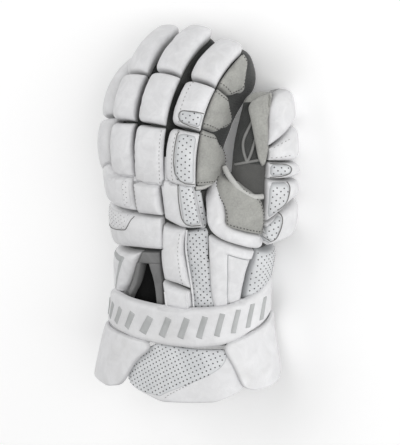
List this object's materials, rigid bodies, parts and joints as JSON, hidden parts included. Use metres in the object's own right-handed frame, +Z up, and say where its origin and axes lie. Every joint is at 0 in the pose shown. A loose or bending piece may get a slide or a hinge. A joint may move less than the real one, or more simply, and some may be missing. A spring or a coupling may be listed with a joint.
{
  "type": "lacrosse glove",
  "caption": "Padded left-hand field glove with jointed finger rolls, an open wrist, a raised cuff band and flared cuff flaps, lying palm down.",
  "frame": {"origin": "on the surface that the glove rests on, under the middle of its bounding box", "axes": "+Y from the cuff to the fingertips, +X to the thumb side, +Z up out of the back of the hand"},
  "size_m": [0.1848, 0.2992, 0.0905],
  "materials": {
    "white_leather": "grained synthetic leather",
    "perforated_white": "perforated synthetic leather",
    "white_cuff": "smooth synthetic leather",
    "light_suede": "suede",
    "palm_suede": "suede",
    "dark_cloth": "knit",
    "vent_grey": "moulded frame"
  },
  "bodies": {
    "root": {"hand_shell": "dark_cloth", "thumb_shell": "dark_cloth", "index_shell": "dark_cloth", "middle_shell": "dark_cloth", "ring_shell": "dark_cloth", "little_shell": "dark_cloth", "index_base_pad": "white_leather", "index_middle_pad": "white_leather", "index_tip_pad": "white_leather", "middle_base_pad": "white_leather", "middle_middle_pad": "white_leather", "middle_tip_pad": "white_leather", "ring_base_pad": "white_leather", "ring_middle_pad": "white_leather", "ring_tip_pad": "white_leather", "little_lower_pad": "white_leather", "little_tip_pad": "white_leather", "index_tip_lobe": "light_suede", "index_middle_lobe": "light_suede", "index_base_lobe": "light_suede", "little_ring_knuckle_pad": "white_leather", "middle_knuckle_pad": "white_leather", "index_knuckle_pad": "white_leather", "outer_back_pad": "white_leather", "centre_long_pad": "white_leather", "lower_centre_pad": "white_leather", "perforated_centre_panel": "perforated_white", "outer_wrist_pad": "white_leather", "vent_frame": "vent_grey", "roll_pad": "white_leather", "suede_saddle": "light_suede", "thumb_base_roll": "white_leather", "trapezoid_wrist_pad": "white_leather", "perforated_thumb_side_panel": "perforated_white", "thumb_tip_cap": "white_leather", "thumb_middle_pad": "white_leather", "thumb_upper_panel": "white_leather", "thumb_lower_panel": "white_leather", "thumb_heel_panel": "white_leather", "thumb_suede_strip": "light_suede", "knuckle_crease_strip": "perforated_white", "palm_patch": "palm_suede", "cuff_band": "white_cuff", "cuff_outer_ear": "white_cuff", "cuff_thumb_ear": "white_cuff", "cuff_tongue": "white_cuff"}
  },
  "joints": []
}
